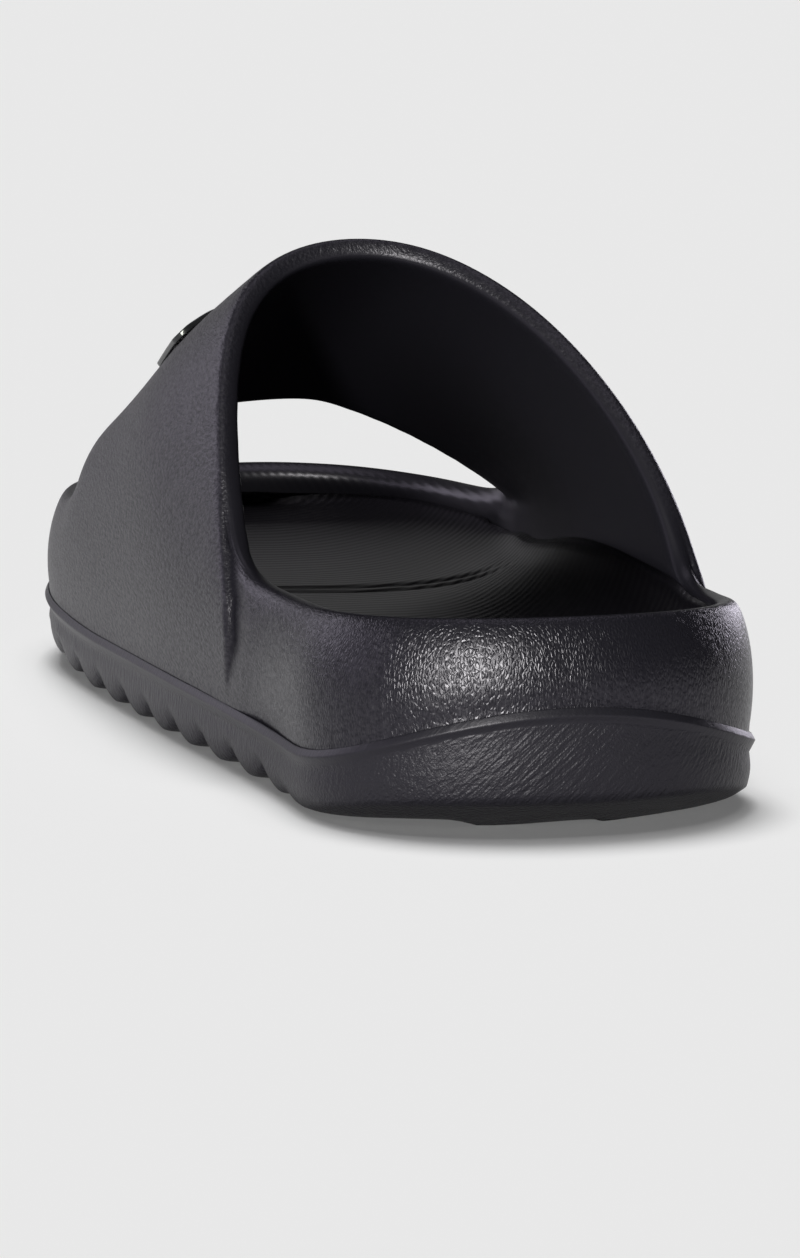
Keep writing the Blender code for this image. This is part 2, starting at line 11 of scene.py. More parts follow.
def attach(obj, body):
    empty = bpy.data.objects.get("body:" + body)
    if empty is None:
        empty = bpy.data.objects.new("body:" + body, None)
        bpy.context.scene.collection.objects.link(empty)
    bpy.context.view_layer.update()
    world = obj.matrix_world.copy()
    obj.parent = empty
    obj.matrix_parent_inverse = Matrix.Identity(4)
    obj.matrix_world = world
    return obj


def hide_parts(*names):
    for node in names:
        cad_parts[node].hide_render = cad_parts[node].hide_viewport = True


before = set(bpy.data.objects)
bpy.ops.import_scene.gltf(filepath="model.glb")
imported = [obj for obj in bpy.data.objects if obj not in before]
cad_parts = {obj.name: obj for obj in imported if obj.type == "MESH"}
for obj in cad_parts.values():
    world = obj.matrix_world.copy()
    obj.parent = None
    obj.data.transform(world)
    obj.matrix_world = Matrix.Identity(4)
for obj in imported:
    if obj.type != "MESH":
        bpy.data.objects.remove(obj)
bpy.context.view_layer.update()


# Camera: a long lens behind the heel, a little to its outer side and just above the strap.
# The angles and the distance were solved from the photograph's outlines.
VIEW_AZIMUTH = math.radians(-13.34)
VIEW_ELEVATION = math.radians(8.55)
VIEW_DISTANCE = 1.0866
VIEW_AIM = Vector((-0.0023, -0.0337, 0.0231))
LENS_MM = 154.0
CLIP_RANGE = (0.05, 30.0)


def make_camera():
    back = Vector((math.sin(VIEW_AZIMUTH) * math.cos(VIEW_ELEVATION),
                   -math.cos(VIEW_AZIMUTH) * math.cos(VIEW_ELEVATION),
                   math.sin(VIEW_ELEVATION)))
    lens = bpy.data.cameras.new("product_camera")
    lens.lens = LENS_MM
    lens.clip_start, lens.clip_end = CLIP_RANGE
    camera = bpy.data.objects.new("product_camera", lens)
    camera.location = VIEW_AIM + back * VIEW_DISTANCE
    camera.rotation_euler = (-back).to_track_quat("-Z", "Y").to_euler()
    bpy.context.scene.collection.objects.link(camera)
    bpy.context.scene.camera = camera


make_camera()


# Studio: a pale paper sweep lit evenly on its own, so that it stays one tone and takes only
# the soft shadow, and panels that light the black foam alone: a tall strip that the heel
# wall mirrors, a wide cool panel ahead of the outer side, and weak fills for the rest.
SWEEP_SIZE = 14.0
PAPER_GLOW = 0.13
WORLD_STRENGTH = 0.012
COOL_WHITE = "#F1ECFA"    # the panels' white, which gives the black foam its cool cast
STRIP_WHITE = "#FBFFF3"   # makes up for the foam's tint, so that the heel's shine is neutral
OUTER_SIDE = (-0.05, 0, 0.05)
INNER_SIDE = (0.05, 0, 0.05)


def linear(colour):
    """Linear RGBA of an sRGB hex colour."""
    parts = [int(colour[i:i + 2], 16) / 255 for i in (1, 3, 5)]
    return tuple(c / 12.92 if c <= 0.04045 else ((c + 0.055) / 1.055) ** 2.4
                 for c in parts) + (1.0,)


def add_node(tree, kind, settings=None, links=None):
    """Add a node, set its properties or inputs, and link other nodes' outputs to it."""
    node = tree.nodes.new(kind)
    for name, value in (settings or {}).items():
        if isinstance(name, str) and hasattr(node, name):
            setattr(node, name, value)
        else:
            node.inputs[name].default_value = value
    for name, source in (links or {}).items():
        tree.links.new(source, node.inputs[name])
    return node


def empty_material(name):
    material = bpy.data.materials.new(name)
    material.use_nodes = True
    material.node_tree.nodes.clear()
    return material


def new_collection(name):
    collection = bpy.data.collections.new(name)
    bpy.context.scene.collection.children.link(collection)
    return collection


def seamless_paper_material():
    """Uncoated seamless paper: matte, with a faint glow that keeps its shadow pale."""
    material = empty_material("seamless_paper")
    tree = material.node_tree
    paper = add_node(tree, "ShaderNodeBsdfDiffuse", {"Color": linear("#E9E9E9")})
    glow = add_node(tree, "ShaderNodeEmission", {"Strength": PAPER_GLOW})
    lit = add_node(tree, "ShaderNodeAddShader", links={0: paper.outputs[0], 1: glow.outputs[0]})
    add_node(tree, "ShaderNodeOutputMaterial", links={"Surface": lit.outputs[0]})
    return material


def make_sweep(collection):
    """Flat floor, wide enough to fill the frame behind the shoe."""
    bm = bmesh.new()
    bmesh.ops.create_grid(bm, x_segments=1, y_segments=1, size=SWEEP_SIZE / 2)
    mesh = bpy.data.meshes.new("studio_sweep")
    bm.to_mesh(mesh)
    bm.free()
    sweep = bpy.data.objects.new("studio_sweep", mesh)
    mesh.materials.append(seamless_paper_material())
    collection.objects.link(sweep)


def light_world(colour, strength):
    world = bpy.data.worlds.new("dim_studio")
    world.use_nodes = True
    tree = world.node_tree
    tree.nodes.clear()
    sky = add_node(tree, "ShaderNodeBackground", {"Color": linear(colour), "Strength": strength})
    add_node(tree, "ShaderNodeOutputWorld", links={"Surface": sky.outputs[0]})
    bpy.context.scene.world = world


def sweep_light(name, receivers, strength, softness, lean):
    """Sunlike light from above, as wide as an overcast sky, for the paper alone."""
    data = bpy.data.lights.new(name, "SUN")
    data.energy = strength
    data.angle = math.radians(softness)
    light = bpy.data.objects.new(name, data)
    light.rotation_euler = (math.radians(lean), 0.0, 0.0)
    light.light_linking.receiver_collection = receivers
    bpy.context.scene.collection.objects.link(light)


def panel_light(name, receivers, place, aim, size, watts, colour):
    """Rectangular softbox at a place, facing the point it is aimed at."""
    data = bpy.data.lights.new(name, "AREA")
    data.shape = "RECTANGLE"
    data.size, data.size_y = size
    data.energy = watts
    data.color = linear(colour)[:3]
    panel = bpy.data.objects.new(name, data)
    panel.location = place
    panel.rotation_euler = (Vector(aim) - Vector(place)).to_track_quat("-Z", "Y").to_euler()
    panel.light_linking.receiver_collection = receivers
    bpy.context.scene.collection.objects.link(panel)


paper = new_collection("paper")
foam = new_collection("foam")
strip_lit = new_collection("strip_lit")
make_sweep(paper)
light_world("#FFFFFF", WORLD_STRENGTH)
sweep_light("sweep_key", paper, strength=1.84, softness=24, lean=-20)
sweep_light("sweep_fill", paper, strength=0.86, softness=46, lean=-8)
panel_light("heel_strip", strip_lit, place=(-0.66, -1.29, 0.52), aim=(0, -0.13, 0.03),
            size=(0.11, 0.90), watts=50.0, colour=STRIP_WHITE)
panel_light("outer_front_panel", foam, place=(-1.30, 1.35, 0.75), aim=OUTER_SIDE,
            size=(1.3, 1.1), watts=8.4, colour=COOL_WHITE)
panel_light("outer_panel", foam, place=(-1.70, 0.05, 0.60), aim=OUTER_SIDE,
            size=(1.0, 1.0), watts=3.6, colour=COOL_WHITE)
panel_light("inner_panel", foam, place=(1.45, 1.37, 0.36), aim=INNER_SIDE,
            size=(1.0, 0.6), watts=11.0, colour=COOL_WHITE)
panel_light("front_panel", foam, place=(0.10, 2.00, 0.38), aim=(0, 0, 0.04),
            size=(1.8, 0.6), watts=1.3, colour="#FFFFFF")
panel_light("overhead_softbox", foam, place=(0.1, 0.35, 1.5), aim=(0, 0, 0.05),
            size=(1.0, 0.8), watts=2.8, colour=COOL_WHITE)
bpy.context.scene.view_settings.view_transform = "Standard"


# Outsole: one injection moulded piece of dense EVA foam, with a heel block, rounded lugs,
# and a raised bead that runs all round where the upper stands on it.  The mould left fine
# upright scratches on the side and slanting ones at the heel, and left the bead smoother.
OUTSOLE_LEVELS = 2
UPPER_LEVELS = 2
MERGE_GAP = 1e-6
FLAT_FACE = math.radians(50)     # triangles this close to flat are joined to quads
SQUARE_FACE = math.radians(80)
SHARP_EDGE = math.radians(32)
EDGE_HOLD = 0.6
FACING_DOWN = -0.80
FOOT_HEIGHT = 0.026       # the upper's lower edge lies below this height
BEAD_FOOT = 0.0006        # the bead starts this far below the upper's lower edge
BEAD_GRAIN = 0.30         # grain that the bead keeps
SIDE_GRAIN = 1.15
SCRATCH_WIDTH_MM = 0.75   # coarser than the real ones, so that they show at this distance
SCRATCH_DRAWN_OUT = 4.0   # length of a side scratch for its width
HEEL_SCRATCH_DRAWN_OUT = 6.5
HEEL_SCRATCH_SLANT = math.radians(48)
SPECK_WIDTH_MM = 0.5
SPECK_SHARE = 0.55        # height of the specks for the scratches' height
OUTSOLE_RELIEF = 0.00026
FOAM_IOR = 1.5
FOAM_ROUGHNESS = 0.42
FOAM_TINT = "#F3ECFB"     # the cool cast of the black foam's shine
SIDE_SHINE = 0.38
# painted shade: the heel's side gets less shine than the sides
HEEL_SHINE = 0.27
HEEL_START = -0.098       # the heel's own grain is full behind this place along the shoe
SIDE_END = -0.055         # and gone ahead of this one
HEEL_ARCH_MIDDLE = 0.010
HEEL_ARCH_HALF = 0.023
HEEL_ARCH_TOP = 0.0042
HEEL_ARCH_EASE = 0.0006
HEEL_ARCH_DEPTH = 0.0010
HEEL_ARCH_REACH = -0.115


def smooth_copy(node, name, levels, hold_edges):
    """Closed quad mesh from a CAD node's triangles, subdivided to a smooth surface."""
    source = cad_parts[node]
    bm = bmesh.new()
    bm.from_mesh(source.data)
    bm.transform(source.matrix_world)
    bmesh.ops.remove_doubles(bm, verts=bm.verts, dist=MERGE_GAP)
    bmesh.ops.join_triangles(bm, faces=bm.faces, angle_face_threshold=FLAT_FACE,
                             angle_shape_threshold=SQUARE_FACE)
    crease = bm.edges.layers.float.new("crease_edge")
    for edge in bm.edges:
        if hold_edges and len(edge.link_faces) == 2 and edge.calc_face_angle() > SHARP_EDGE:
            edge[crease] = EDGE_HOLD
    mesh = bpy.data.meshes.new(name)
    bm.to_mesh(mesh)
    bm.free()
    rough = bpy.data.objects.new(name, mesh)
    bpy.context.scene.collection.objects.link(rough)
    soften = rough.modifiers.new("soften", "SUBSURF")
    soften.levels = soften.render_levels = levels
    settled = bpy.context.evaluated_depsgraph_get()
    smooth = bpy.data.meshes.new_from_object(rough.evaluated_get(settled))
    bpy.data.objects.remove(rough)
    smooth.name = name
    smooth.materials.clear()
    smooth.shade_smooth()
    return smooth


def place_piece(mesh, name, material, node):
    """Put a piece in the scene in place of a CAD node, which is hidden.  The heel's strip light
    leaves out the insole, where it would glare."""
    piece = bpy.data.objects.new(name, mesh)
    mesh.materials.append(material)
    foam.objects.link(piece)
    if node != "insole":
        strip_lit.objects.link(piece)
    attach(piece, "root")
    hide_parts(node)


def mesh_points(mesh):
    points = np.empty(len(mesh.vertices) * 3)
    mesh.vertices.foreach_get("co", points)
    return points.reshape(-1, 3)


def mesh_normals(mesh):
    normals = np.empty(len(mesh.vertices) * 3)
    mesh.vertex_normals.foreach_get("vector", normals)
    return normals.reshape(-1, 3)


def set_points(mesh, points):
    mesh.vertices.foreach_set("co", points.ravel())
    mesh.update()


def set_attribute(mesh, name, values):
    layer = mesh.attributes.new(name, "FLOAT", "POINT")
    layer.data.foreach_set("value", values.astype(np.float32))


def soft_step(low, high, value):
    """0 below low, 1 above high, smooth between."""
    share = np.clip((value - low) / (high - low), 0.0, 1.0)
    return share * share * (3 - 2 * share)


def heel_share(points):
    """1 round the heel, 0 along the sides."""
    return 1 - soft_step(HEEL_START, SIDE_END, points[:, 1])


def nearest_height(points, edge_points):
    """Height of the edge point that is nearest in plan to each point."""
    tree = KDTree(len(edge_points))
    for place, point in enumerate(edge_points):
        tree.insert((point[0], point[1], 0.0), place)
    tree.balance()
    return np.array([edge_points[tree.find((x, y, 0.0))[1]][2] for x, y, _ in points])


def outsole_material():
    """Injection moulded EVA foam: satin black, with a mould's scratches, upright at the
    sides and slanting at the heel, that catch the light, and a smoother bead."""
    material = empty_material("moulded_eva_outsole")
    tree = material.node_tree
    place = add_node(tree, "ShaderNodeTexCoord")
    heel = add_node(tree, "ShaderNodeAttribute", {"attribute_name": "heel_wall"})
    upright = add_node(tree, "ShaderNodeMapping",
                       {"vector_type": "TEXTURE", "Scale": (1.0, 1.0, SCRATCH_DRAWN_OUT)},
                       {"Vector": place.outputs["Object"]})
    slanting = add_node(tree, "ShaderNodeMapping",
                        {"vector_type": "TEXTURE", "Rotation": (0.0, HEEL_SCRATCH_SLANT, 0.0),
                         "Scale": (1.0, 1.0, HEEL_SCRATCH_DRAWN_OUT)},
                        {"Vector": place.outputs["Object"]})
    lie = add_node(tree, "ShaderNodeMix", {"data_type": "VECTOR"},
                   {"Factor": heel.outputs["Fac"], 4: upright.outputs[0],
                    5: slanting.outputs[0]})
    scratches = add_node(tree, "ShaderNodeTexNoise",
                         {"Scale": 1000 / SCRATCH_WIDTH_MM, "Detail": 1.5, "Roughness": 0.55},
                         {"Vector": lie.outputs[1]})
    speck = add_node(tree, "ShaderNodeTexNoise",
                     {"Scale": 1000 / SPECK_WIDTH_MM, "Detail": 2.0, "Roughness": 0.6},
                     {"Vector": place.outputs["Object"]})
    grain = add_node(tree, "ShaderNodeMath", {"operation": "MULTIPLY_ADD", 1: SPECK_SHARE},
                     {0: speck.outputs[0], 2: scratches.outputs[0]})
    bead = add_node(tree, "ShaderNodeAttribute", {"attribute_name": "bead"})
    rough = add_node(tree, "ShaderNodeMapRange", {"To Min": SIDE_GRAIN, "To Max": BEAD_GRAIN},
                     {"Value": bead.outputs["Fac"]})
    relief = add_node(tree, "ShaderNodeMath", {"operation": "MULTIPLY"},
                      {0: grain.outputs[0], 1: rough.outputs[0]})
    bump = add_node(tree, "ShaderNodeBump", {"Strength": 0.9, "Distance": OUTSOLE_RELIEF},
                    {"Height": relief.outputs[0]})
    # painted shade: less shine round the heel
    shine = add_node(tree, "ShaderNodeMapRange", {"To Min": SIDE_SHINE, "To Max": HEEL_SHINE},
                     {"Value": heel.outputs["Fac"]})
    shader = add_node(tree, "ShaderNodeBsdfPrincipled",
                      {"Base Color": linear("#131217"), "IOR": FOAM_IOR,
                       "Roughness": FOAM_ROUGHNESS, "Specular Tint": linear(FOAM_TINT)},
                      {"Normal": bump.outputs[0], "Specular IOR Level": shine.outputs[0]})
    add_node(tree, "ShaderNodeOutputMaterial", links={"Surface": shader.outputs[0]})
    return material


def arch_heel_edge(points, normals):
    """Shallow arched step over the treads at the middle of the heel's lower edge."""
    middle = (points[:, 0] - HEEL_ARCH_MIDDLE) / HEEL_ARCH_HALF
    top = HEEL_ARCH_TOP * np.sqrt(np.clip(1 - middle ** 2, 0.0, 1.0))
    below = 1 - soft_step(-HEEL_ARCH_EASE, HEEL_ARCH_EASE, points[:, 2] - top)
    below *= (points[:, 1] < HEEL_ARCH_REACH) * soft_step(0.0, HEEL_ARCH_TOP / 2, top)
    out = normals.copy()
    out[:, 2] = 0.0
    return points - out * (HEEL_ARCH_DEPTH * below)[:, None]


outsole_mesh = smooth_copy("outsole", "outsole_foam", OUTSOLE_LEVELS, True)
upper_mesh = smooth_copy("upper", "upper_foam", UPPER_LEVELS, False)
upper_points = mesh_points(upper_mesh)
upper_normals = mesh_normals(upper_mesh)
foot_edge = upper_points[(upper_normals[:, 2] < FACING_DOWN)
                         & (upper_points[:, 2] < FOOT_HEIGHT)]
outsole_points = mesh_points(outsole_mesh)
above_foot = outsole_points[:, 2] - nearest_height(outsole_points, foot_edge)
set_attribute(outsole_mesh, "bead", soft_step(-2 * BEAD_FOOT, -BEAD_FOOT, above_foot))
set_attribute(outsole_mesh, "heel_wall", heel_share(outsole_points))
set_points(outsole_mesh, arch_heel_edge(outsole_points, mesh_normals(outsole_mesh)))
place_piece(outsole_mesh, "outsole_foam", outsole_material(), "outsole")


# Upper: strap, heel cup and toe wall moulded in one piece of EVA foam, about 7 mm thick at
# the sole and 5 mm in the strap.  Its outside has a fine pebble from the mould that turns to
# upright wrinkles round the heel, and its rims and its inside are smooth.
INSIDE_AXIS_HEIGHT = 0.045
INSIDE_AXIS_ENDS = (-0.100, 0.090)
RIM_TURN = (-0.25, 0.35)  # the skin turns from inner to outer between these slopes
LEAST_LEAN = 0.3          # keeps the push sideways finite where the skin faces up
WRINKLE_WIDTH_MM = 0.60   # between the creases of the heel's leather-like grain
WRINKLE_DRAWN_OUT = 2.3   # height of a wrinkle's cell for its width
PEBBLE_WIDTH_MM = 0.70    # coarser than the real 0.3 mm, so that it shows at this distance
PEBBLE_DRAWN_OUT = 2.2    # the shallow view of the outer side shortens it again
PEBBLE_OVER_WRINKLE = 4.5
WRINKLE_FLANK = 0.30      # distance from a crease, in cells, over which a wrinkle rises
SWAYS_PER_METRE = 700.0
WRINKLE_SWAY = 0.0005
SPECKLE_RANGE = (0.32, 0.68)
SPECKLE_SHINE = (0.55, 1.45)
TOE_RIB_PITCH_MM = 1.7
TOE_RIB_LIE = (0.82, 0.0, 0.57)
TOE_RIB_HEIGHT = 0.40
TOE_START = (0.060, 0.075)
# painted shade: the inside gets about half the outside's shine
INNER_SHINE = 0.55
# painted sheen: the toe wall's inside gets more shine than the rest of the inside
TOE_WALL_SHINE = 1.6
OUTER_SHINE = 0.40
VALLEY_SHINE = 0.04       # hardly any light reaches the valley's floor
HEEL_LOSS = 0.80          # the wrinkles shade one another
HEEL_ROUGHNESS = 0.31     # and their tops are a little polished
UPPER_RELIEF = 0.00010
FOOT_SWELL = 0.0006       # the moulded foot swells to the bead, with no gap to be seen
FOOT_SWELL_HEIGHT = 0.0035
VALLEY_DEPTH = 0.0015
VALLEY_STEEP = 0.0012     # width of the valley's side towards the strap
VALLEY_GENTLE = 0.0052    # and towards the heel
VALLEY_LINE = ((0.0120, -0.0620), (0.0166, -0.0622), (0.0219, -0.0642), (0.0270, -0.0654),
               (0.0347, -0.0641), (0.0419, -0.0595), (0.0520, -0.0520), (0.0620, -0.0430))
VALLEYS = ((-1, 0.0), (1, -0.0215))  # side of the shoe, and shift of the line along it
VALLEY_FADES = (0.0130, 0.0300, 0.0400, 0.0600)
VALLEY_BAND = 0.0045
VALLEY_CUTS = 2
SIDE_START = 0.02         # the shoe's sides lie further out than this


def inside_share(points, normals):
    """0 on the outer skin of the shell, 1 on its inner skin, smooth over the rims."""
    axis = points.copy()
    axis[:, 0] = 0.0
    axis[:, 1] = np.clip(points[:, 1], *INSIDE_AXIS_ENDS)
    axis[:, 2] = np.minimum(points[:, 2], INSIDE_AXIS_HEIGHT)
    away = points - axis
    away /= np.linalg.norm(away, axis=1)[:, None]
    facing = (away * normals).sum(axis=1)
    return 1 - soft_step(*RIM_TURN, facing)


def swell_foot(points, normals, inner):
    """Push the outer skin out to the bead over its lowest few millimetres."""
    height = points[:, 2] - nearest_height(points, foot_edge)
    weight = (1 - soft_step(0.0, FOOT_SWELL_HEIGHT, height)) * (inner < 0.5)
    out = normals.copy()
    out[:, 2] = 0.0
    out /= np.maximum(np.linalg.norm(out, axis=1), LEAST_LEAN)[:, None]
    return points + out * (FOOT_SWELL * weight)[:, None]


def refine_band(mesh, chosen, cuts):
    """Split every edge between chosen vertices, for relief finer than the mesh."""
    bm = bmesh.new()
    bm.from_mesh(mesh)
    edges = [edge for edge in bm.edges if all(chosen[v.index] for v in edge.verts)]
    bmesh.ops.subdivide_edges(bm, edges=edges, cuts=cuts, use_grid_fill=True)
    bm.to_mesh(mesh)
    bm.free()


def valley_offset(points, shift):
    """Place along the shoe, counted from the valley's line."""
    heights, places = zip(*VALLEY_LINE)
    return points[:, 1] - shift - np.interp(points[:, 2], heights, places)


def valley_share(points, inner, side, shift, gentle):
    """1 along the valley's line on the outer skin, falling to 0 on both sides of it."""
    beside = valley_offset(points, shift)
    width = np.where(beside > 0, VALLEY_STEEP, gentle)
    fade = soft_step(VALLEY_FADES[0], VALLEY_FADES[1], points[:, 2])
    fade *= 1 - soft_step(VALLEY_FADES[2], VALLEY_FADES[3], points[:, 2])
    fade *= (1 - inner) * (points[:, 0] * side > SIDE_START)
    return np.exp(-(beside / width) ** 2) * fade


def upper_material():
    """Injection moulded EVA foam: black, pebbled outside and wrinkled like leather at the
    heel, where the tops of the wrinkles glint, and smooth satin on the rims and inside.  The
    inside is darkened with painted shade, and the toe wall's inside is lightened with painted
    sheen."""
    material = empty_material("moulded_eva_upper")
    tree = material.node_tree
    place = add_node(tree, "ShaderNodeTexCoord")
    inner = add_node(tree, "ShaderNodeAttribute", {"attribute_name": "inner_skin"})
    heel = add_node(tree, "ShaderNodeAttribute", {"attribute_name": "heel_wall"})
    drawn_out = add_node(tree, "ShaderNodeMapping",
                         {"vector_type": "TEXTURE", "Scale": (1.0, 1.0, WRINKLE_DRAWN_OUT)},
                         {"Vector": place.outputs["Object"]})
    sway = add_node(tree, "ShaderNodeTexNoise", {"Scale": SWAYS_PER_METRE, "Detail": 1.0},
                    {"Vector": drawn_out.outputs[0]})
    swayed = add_node(tree, "ShaderNodeVectorMath", {"operation": "MULTIPLY_ADD",
                                                     1: (WRINKLE_SWAY,) * 3},
                      {0: sway.outputs["Color"], 2: drawn_out.outputs[0]})
    wrinkle = add_node(tree, "ShaderNodeTexVoronoi",
                       {"feature": "DISTANCE_TO_EDGE", "Scale": 1000 / WRINKLE_WIDTH_MM},
                       {"Vector": swayed.outputs[0]})
    ridged = add_node(tree, "ShaderNodeMapRange",
                      {"From Max": WRINKLE_FLANK, "interpolation_type": "SMOOTHSTEP"},
                      {"Value": wrinkle.outputs["Distance"]})
    lengthwise = add_node(tree, "ShaderNodeMapping",
                          {"vector_type": "TEXTURE", "Scale": (1.0, PEBBLE_DRAWN_OUT, 1.0)},
                          {"Vector": place.outputs["Object"]})
    pebble = add_node(tree, "ShaderNodeTexNoise",
                      {"Scale": 1000 / PEBBLE_WIDTH_MM, "Detail": 2.0, "Roughness": 0.6},
                      {"Vector": lengthwise.outputs[0]})
    deep_pebble = add_node(tree, "ShaderNodeMath",
                           {"operation": "MULTIPLY", 1: PEBBLE_OVER_WRINKLE},
                           {0: pebble.outputs[0]})
    speckle = add_node(tree, "ShaderNodeMapRange",
                       {"From Min": SPECKLE_RANGE[0], "From Max": SPECKLE_RANGE[1],
                        "To Min": SPECKLE_SHINE[0], "To Max": SPECKLE_SHINE[1]},
                       {"Value": pebble.outputs[0]})
    grain = add_node(tree, "ShaderNodeMix", {"data_type": "FLOAT"},
                     {"Factor": heel.outputs["Fac"], "A": deep_pebble.outputs[0],
                      "B": ridged.outputs[0]})
    outer = add_node(tree, "ShaderNodeMath", {"operation": "SUBTRACT", 0: 1.0},
                     {1: inner.outputs["Fac"]})
    outer_relief = add_node(tree, "ShaderNodeMath", {"operation": "MULTIPLY"},
                            {0: grain.outputs[0], 1: outer.outputs[0]})
    toe = add_node(tree, "ShaderNodeAttribute", {"attribute_name": "toe_ribs_and_sheen"})
    slant = add_node(tree, "ShaderNodeVectorMath",
                     {"operation": "DOT_PRODUCT", 1: TOE_RIB_LIE},
                     {0: place.outputs["Object"]})
    rib_phase = add_node(tree, "ShaderNodeMath",
                         {"operation": "MULTIPLY", 1: 2 * math.pi * 1000 / TOE_RIB_PITCH_MM},
                         {0: slant.outputs["Value"]})
    ribs = add_node(tree, "ShaderNodeMath", {"operation": "SINE"}, {0: rib_phase.outputs[0]})
    toe_relief = add_node(tree, "ShaderNodeMath", {"operation": "MULTIPLY"},
                          {0: ribs.outputs[0], 1: toe.outputs["Fac"]})
    relief = add_node(tree, "ShaderNodeMath",
                      {"operation": "MULTIPLY_ADD", 1: TOE_RIB_HEIGHT},
                      {0: toe_relief.outputs[0], 2: outer_relief.outputs[0]})
    bump = add_node(tree, "ShaderNodeBump", {"Strength": 0.5, "Distance": UPPER_RELIEF},
                    {"Height": relief.outputs[0]})
    dull = add_node(tree, "ShaderNodeMapRange",
                    {"To Min": FOAM_ROUGHNESS, "To Max": HEEL_ROUGHNESS},
                    {"Value": heel.outputs["Fac"]})
    valley = add_node(tree, "ShaderNodeAttribute", {"attribute_name": "valley"})
    shade = add_node(tree, "ShaderNodeMapRange",
                     {"To Min": OUTER_SHINE, "To Max": VALLEY_SHINE},
                     {"Value": valley.outputs["Fac"]})
    # painted shade on the inside, painted sheen on the inside of the toe wall
    inner_shine = add_node(tree, "ShaderNodeMapRange",
                           {"To Min": INNER_SHINE, "To Max": TOE_WALL_SHINE},
                           {"Value": toe.outputs["Fac"]})
    skin = add_node(tree, "ShaderNodeMix", {"data_type": "FLOAT"},
                    {"Factor": inner.outputs["Fac"], 2: speckle.outputs[0],
                     3: inner_shine.outputs[0]})
    fold_loss = add_node(tree, "ShaderNodeMapRange", {"To Min": 1.0, "To Max": HEEL_LOSS},
                         {"Value": heel.outputs["Fac"]})
    shown = add_node(tree, "ShaderNodeMath", {"operation": "MULTIPLY"},
                     {0: shade.outputs[0], 1: fold_loss.outputs[0]})
    glint = add_node(tree, "ShaderNodeMath", {"operation": "MULTIPLY"},
                     {0: shown.outputs[0], 1: skin.outputs[0]})
    shader = add_node(tree, "ShaderNodeBsdfPrincipled",
                      {"Base Color": linear("#111015"), "IOR": FOAM_IOR,
                       "Specular Tint": linear(FOAM_TINT)},
                      {"Normal": bump.outputs[0], "Roughness": dull.outputs[0],
                       "Specular IOR Level": glint.outputs[0]})
    add_node(tree, "ShaderNodeOutputMaterial", links={"Surface": shader.outputs[0]})
    return material


for side, shift in VALLEYS:
    near = abs(valley_offset(upper_points, shift)) < VALLEY_BAND
    near &= (upper_points[:, 0] * side > SIDE_START) & (upper_points[:, 2] < VALLEY_FADES[3])
    refine_band(upper_mesh, near, VALLEY_CUTS)
    upper_points = mesh_points(upper_mesh)
upper_normals = mesh_normals(upper_mesh)
upper_inner = inside_share(upper_points, upper_normals)
upper_points = swell_foot(upper_points, upper_normals, upper_inner)
valley_floor = np.zeros(len(upper_points))
for side, shift in VALLEYS:
    trough = valley_share(upper_points, upper_inner, side, shift, VALLEY_GENTLE)
    valley_floor += valley_share(upper_points, upper_inner, side, shift, 2 * VALLEY_STEEP)
    upper_points = upper_points - upper_normals * (VALLEY_DEPTH * trough)[:, None]
set_attribute(upper_mesh, "valley", valley_floor)
set_points(upper_mesh, upper_points)
set_attribute(upper_mesh, "inner_skin", upper_inner)
set_attribute(upper_mesh, "heel_wall", heel_share(upper_points))
set_attribute(upper_mesh, "toe_ribs_and_sheen",
              upper_inner ** 6 * soft_step(*TOE_START, upper_points[:, 1]))
place_piece(upper_mesh, "upper_foam", upper_material(), "upper")


# Insole: a contoured footbed of softer EVA foam, with fine ripples across it that bend
# forwards over the arch, and two soft creases across the waist where it flexes.
INSOLE_LEVELS = 3
RIPPLE_PITCH_MM = 3.4
RIPPLE_BEND = 22.0        # how fast the ripples turn forwards beside the middle, per metre
RIPPLE_BEND_START = -0.004
RIPPLE_DRIFTS_PER_METRE = 45.0
RIPPLE_DRIFT = 0.006
RIPPLE_RELIEF = 0.00008
FOOTBED_SHINE = 0.35
BORDER_RISE = 0.0034      # the footbed sweeps up by this much where it meets the wall
BORDER_REACH = 0.0085     # over this distance from the wall
BORDER_SEAM = 0.0003      # gap that stays between the footbed's border and the wall
BORDER_PULL = (0.0014, 0.0030)  # the border is pulled out fully up to the first gap
BORDER_FACING = (-0.5, 0.5)     # and only where it faces up
BORDER_TOE = (0.045, 0.075)     # the sweep dies out between these places along the shoe
CREASE_DEPTH = 0.0006
CREASE_WIDTH = 0.0022
CREASES = ((0.011, 3.0), (0.003, 5.0))  # place along the shoe and bend of each
CREASE_AXIS = 0.005
CREASE_FACING = (0.5, 0.9)
CREASE_END = (0.022, 0.034)
HOLLOW_MIDDLE = (0.036, -0.042)  # the smooth hollow at the rear of the arch, darkened with painted shade
HOLLOW_HALF = (0.020, 0.042)
# painted shade: the hollow gets far less shine than the rest of the footbed
HOLLOW_SHINE = 0.12
HOLLOW_RIPPLE = 0.1


